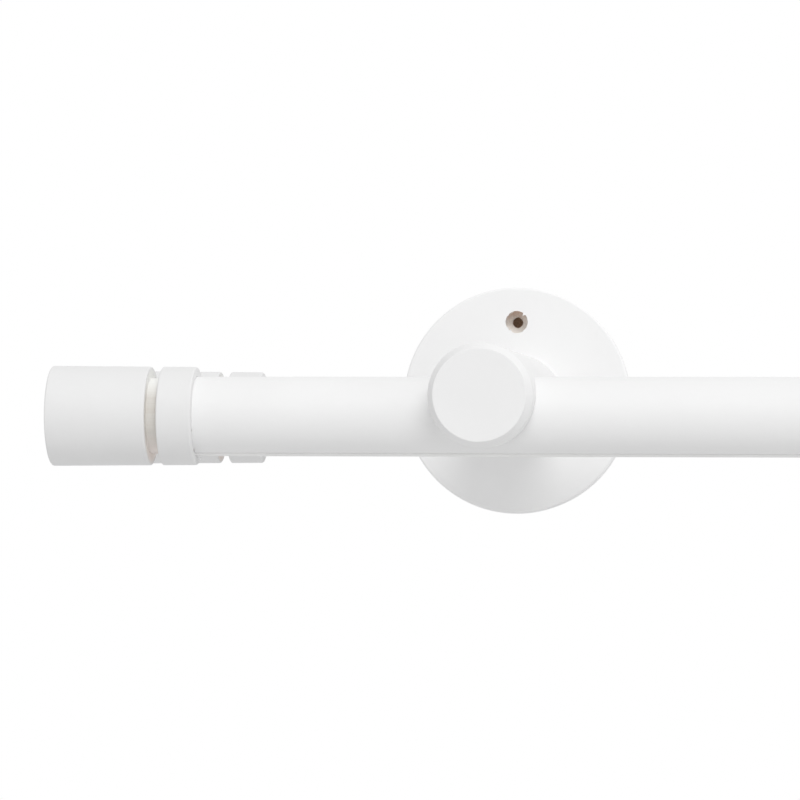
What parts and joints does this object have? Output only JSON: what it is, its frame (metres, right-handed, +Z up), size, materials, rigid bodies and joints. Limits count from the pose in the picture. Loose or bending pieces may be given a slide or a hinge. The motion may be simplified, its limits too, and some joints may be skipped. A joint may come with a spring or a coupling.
{
  "type": "double curtain rod with track",
  "caption": "Double round curtain rod with a glider track in the underside of each rod, turned grooved finials and round wall brackets whose arms carry both rods.",
  "frame": {"origin": "centre of the left wall plate's back face, on the wall", "axes": "+X along the rods to the right, +Y into the wall, +Z up"},
  "size_m": [1.088, 0.209, 0.0902],
  "materials": {
    "rod_paint": "satin white lacquer",
    "turned_paint": "satin white lacquer",
    "track_plastic": "extruded white",
    "glider_plastic": "moulded white",
    "steel": "zinc plated"
  },
  "bodies": {
    "rods_and_brackets": {"front_rod": "rod_paint", "front_track": "track_plastic", "front_finial_left": "turned_paint", "front_finial_right": "turned_paint", "rear_rod": "rod_paint", "rear_track": "track_plastic", "rear_finial_left": "turned_paint", "rear_finial_right": "turned_paint", "wall_plate_left": "turned_paint", "bracket_arm_left": "turned_paint", "wall_plate_right": "turned_paint", "bracket_arm_right": "turned_paint", "finial_dowel_screws": "steel", "rod_lock_screws": "steel", "arm_screws": "steel"},
    "front_glider_1": {"front_glider_1": "glider_plastic"},
    "front_glider_2": {"front_glider_2": "glider_plastic"},
    "front_glider_3": {"front_glider_3": "glider_plastic"},
    "front_glider_4": {"front_glider_4": "glider_plastic"},
    "front_glider_5": {"front_glider_5": "glider_plastic"},
    "front_glider_6": {"front_glider_6": "glider_plastic"},
    "front_glider_7": {"front_glider_7": "glider_plastic"},
    "front_glider_8": {"front_glider_8": "glider_plastic"},
    "rear_glider_1": {"rear_glider_1": "glider_plastic"},
    "rear_glider_2": {"rear_glider_2": "glider_plastic"},
    "rear_glider_3": {"rear_glider_3": "glider_plastic"},
    "rear_glider_4": {"rear_glider_4": "glider_plastic"},
    "rear_glider_5": {"rear_glider_5": "glider_plastic"},
    "rear_glider_6": {"rear_glider_6": "glider_plastic"},
    "rear_glider_7": {"rear_glider_7": "glider_plastic"},
    "rear_glider_8": {"rear_glider_8": "glider_plastic"}
  },
  "joints": [
    {"name": "front_glider_1_slide", "type": "slide", "parent": "rods_and_brackets", "child": "front_glider_1", "axis": [1, 0, 0], "range_m": [-0.2328, 0.0803]},
    {"name": "front_glider_2_slide", "type": "slide", "parent": "front_glider_1", "child": "front_glider_2", "axis": [1, 0, 0], "range_m": [-0.0041, 0.0803]},
    {"name": "front_glider_3_slide", "type": "slide", "parent": "front_glider_2", "child": "front_glider_3", "axis": [1, 0, 0], "range_m": [-0.0041, 0.0803]},
    {"name": "front_glider_4_slide", "type": "slide", "parent": "front_glider_3", "child": "front_glider_4", "axis": [1, 0, 0], "range_m": [-0.0041, 0.0803]},
    {"name": "front_glider_5_slide", "type": "slide", "parent": "front_glider_4", "child": "front_glider_5", "axis": [1, 0, 0], "range_m": [-0.0041, 0.0803]},
    {"name": "front_glider_6_slide", "type": "slide", "parent": "front_glider_5", "child": "front_glider_6", "axis": [1, 0, 0], "range_m": [-0.0041, 0.0803]},
    {"name": "front_glider_7_slide", "type": "slide", "parent": "front_glider_6", "child": "front_glider_7", "axis": [1, 0, 0], "range_m": [-0.0041, 0.0803]},
    {"name": "front_glider_8_slide", "type": "slide", "parent": "front_glider_7", "child": "front_glider_8", "axis": [1, 0, 0], "range_m": [-0.0041, 0.0803]},
    {"name": "rear_glider_1_slide", "type": "slide", "parent": "rods_and_brackets", "child": "rear_glider_1", "axis": [-1, 0, 0], "range_m": [-0.2236, 0.0792]},
    {"name": "rear_glider_2_slide", "type": "slide", "parent": "rear_glider_1", "child": "rear_glider_2", "axis": [-1, 0, 0], "range_m": [-0.0041, 0.0792]},
    {"name": "rear_glider_3_slide", "type": "slide", "parent": "rear_glider_2", "child": "rear_glider_3", "axis": [-1, 0, 0], "range_m": [-0.0041, 0.0792]},
    {"name": "rear_glider_4_slide", "type": "slide", "parent": "rear_glider_3", "child": "rear_glider_4", "axis": [-1, 0, 0], "range_m": [-0.0041, 0.0792]},
    {"name": "rear_glider_5_slide", "type": "slide", "parent": "rear_glider_4", "child": "rear_glider_5", "axis": [-1, 0, 0], "range_m": [-0.0041, 0.0792]},
    {"name": "rear_glider_6_slide", "type": "slide", "parent": "rear_glider_5", "child": "rear_glider_6", "axis": [-1, 0, 0], "range_m": [-0.0041, 0.0792]},
    {"name": "rear_glider_7_slide", "type": "slide", "parent": "rear_glider_6", "child": "rear_glider_7", "axis": [-1, 0, 0], "range_m": [-0.0041, 0.0792]},
    {"name": "rear_glider_8_slide", "type": "slide", "parent": "rear_glider_7", "child": "rear_glider_8", "axis": [-1, 0, 0], "range_m": [-0.0041, 0.0792]}
  ]
}
